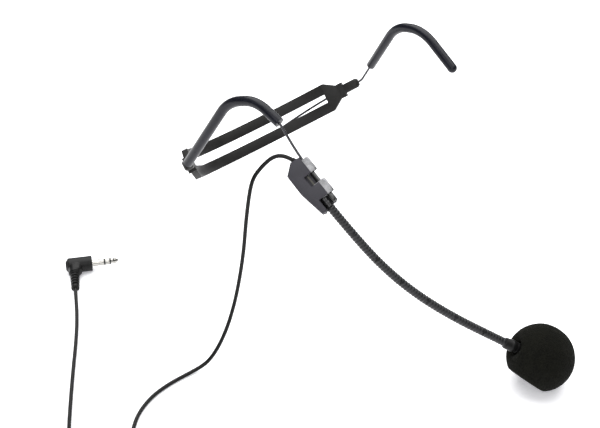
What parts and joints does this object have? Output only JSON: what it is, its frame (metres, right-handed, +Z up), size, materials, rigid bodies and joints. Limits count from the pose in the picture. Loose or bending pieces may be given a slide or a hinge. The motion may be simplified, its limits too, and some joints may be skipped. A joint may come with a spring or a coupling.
{
  "type": "headset microphone",
  "caption": "Behind-the-neck wire headset with rubber ear hooks, a clip-on gooseneck boom microphone under a foam ball, and a thin lead with a right-angle jack plug.",
  "frame": {"origin": "wearer's mid-plane, midway between the places where the two ear hooks leave the neck strap", "axes": "+Z up as worn, -Y the way the wearer faces, -X the wearer's right, where the boom is"},
  "size_m": [0.2495, 0.2492, 0.1278],
  "materials": {
    "spring_steel": "dark blued spring wire",
    "ear_rubber": "smooth satin rubber tube",
    "strap_rubber": "matt moulded rubber",
    "grip_plastic": "glossy sleeve",
    "holder_plastic": "fine spark-eroded moulded plastic",
    "clip_steel": "bright folded sheet steel",
    "cable_rubber": "smooth cable jacket",
    "tie_plastic": "plastic-covered wire tie",
    "clamp_plastic": "moulded",
    "board": "resin board",
    "solder": "solder",
    "socket_steel": "nickel plate",
    "gooseneck_steel": "black finish on wound steel",
    "core_rubber": "inner lead",
    "collar_plastic": "moulded",
    "capsule_aluminium": "capsule can",
    "gasket_rubber": "soft rubber",
    "grille_steel": "perforated disc",
    "windscreen_foam": "open-cell foam",
    "plug_plastic": "moulded",
    "boot_rubber": "ribbed strain relief",
    "plug_plating": "nickel plate",
    "insulator": "moulded rings"
  },
  "bodies": {
    "headframe": {"spring_wire": "spring_steel", "right_ear_tube": "ear_rubber", "left_ear_tube": "ear_rubber", "neck_strap": "strap_rubber", "right_strap_collar": "strap_rubber", "left_strap_collar": "strap_rubber", "right_wire_boot": "strap_rubber", "left_wire_boot": "strap_rubber", "grip_sleeve": "grip_plastic", "cable_run": "cable_rubber", "cable_coil": "cable_rubber", "cable_tie": "tie_plastic", "cable_tail": "cable_rubber", "jack_body": "plug_plastic", "jack_boot": "boot_rubber", "jack_core": "plug_plating", "jack_sleeve": "plug_plating", "jack_insulator_rear": "insulator", "jack_ring": "plug_plating", "jack_insulator_front": "insulator", "jack_tip": "plug_plating"},
    "holder": {"holder_outer_shell": "holder_plastic", "holder_inner_shell": "holder_plastic", "upper_wire_clip": "clip_steel", "lower_wire_clip": "clip_steel", "clip_spine": "clip_steel", "cable_grommet": "cable_rubber", "cable_clamp": "clamp_plastic", "terminal_board": "board", "solder_pads": "solder", "gooseneck_socket": "socket_steel", "gooseneck_1": "gooseneck_steel", "gooseneck_core": "core_rubber"},
    "boom_2": {"gooseneck_2": "gooseneck_steel"},
    "boom_3": {"gooseneck_3": "gooseneck_steel"},
    "boom_4": {"gooseneck_4": "gooseneck_steel"},
    "boom_5": {"gooseneck_5": "gooseneck_steel"},
    "boom_6": {"gooseneck_6": "gooseneck_steel"},
    "capsule": {"gooseneck_7": "gooseneck_steel", "capsule_collar": "collar_plastic", "capsule_housing": "collar_plastic", "electret_capsule": "capsule_aluminium", "capsule_gasket": "gasket_rubber", "capsule_grille": "grille_steel"},
    "windscreen": {"foam_windscreen": "windscreen_foam"}
  },
  "joints": [
    {"name": "holder_swing", "type": "hinge", "parent": "headframe", "child": "holder", "pos_m": [-0.0541, -0.0738, 0.0306], "axis": [0.055, -0.8162, -0.5751], "range_deg": [-20, 25], "deforming": ["cable_run"]},
    {"name": "boom_lift_1", "type": "hinge", "parent": "holder", "child": "boom_2", "pos_m": [-0.05114, -0.10183, 0.00395], "axis": [-0.8858, -0.4641, 0], "range_deg": [-4, 11], "deforming": ["gooseneck_core"]},
    {"name": "boom_reach_1", "type": "hinge", "parent": "boom_2", "child": "boom_3", "pos_m": [-0.04587, -0.11113, -0.00751], "axis": [0.371, -0.6082, 0.7018], "range_deg": [-10, 10]},
    {"name": "boom_lift_2", "type": "hinge", "parent": "boom_3", "child": "boom_4", "pos_m": [-0.03947, -0.12065, -0.01817], "axis": [-0.8119, -0.5838, 0], "range_deg": [-4, 11]},
    {"name": "boom_reach_2", "type": "hinge", "parent": "boom_4", "child": "boom_5", "pos_m": [-0.03191, -0.13039, -0.02783], "axis": [0.3701, -0.4445, 0.8158], "range_deg": [-10, 10]},
    {"name": "boom_lift_3", "type": "hinge", "parent": "boom_5", "child": "boom_6", "pos_m": [-0.02335, -0.14021, -0.03654], "axis": [-0.7379, -0.6749, 0], "range_deg": [-4, 11]},
    {"name": "boom_reach_3", "type": "hinge", "parent": "boom_6", "child": "capsule", "pos_m": [-0.01408, -0.14993, -0.04461], "axis": [0.3532, -0.364, 0.8618], "range_deg": [-10, 10]},
    {"name": "windscreen_pull_off", "type": "slide", "parent": "capsule", "child": "windscreen", "axis": [0.6402, -0.6152, -0.4601], "range_m": [0, 0.02]}
  ],
  "couplings": [
    {"joint": "boom_lift_2", "follows": "boom_lift_1", "ratio": 1},
    {"joint": "boom_reach_2", "follows": "boom_reach_1", "ratio": 1},
    {"joint": "boom_lift_3", "follows": "boom_lift_1", "ratio": 1},
    {"joint": "boom_reach_3", "follows": "boom_reach_1", "ratio": 1}
  ]
}
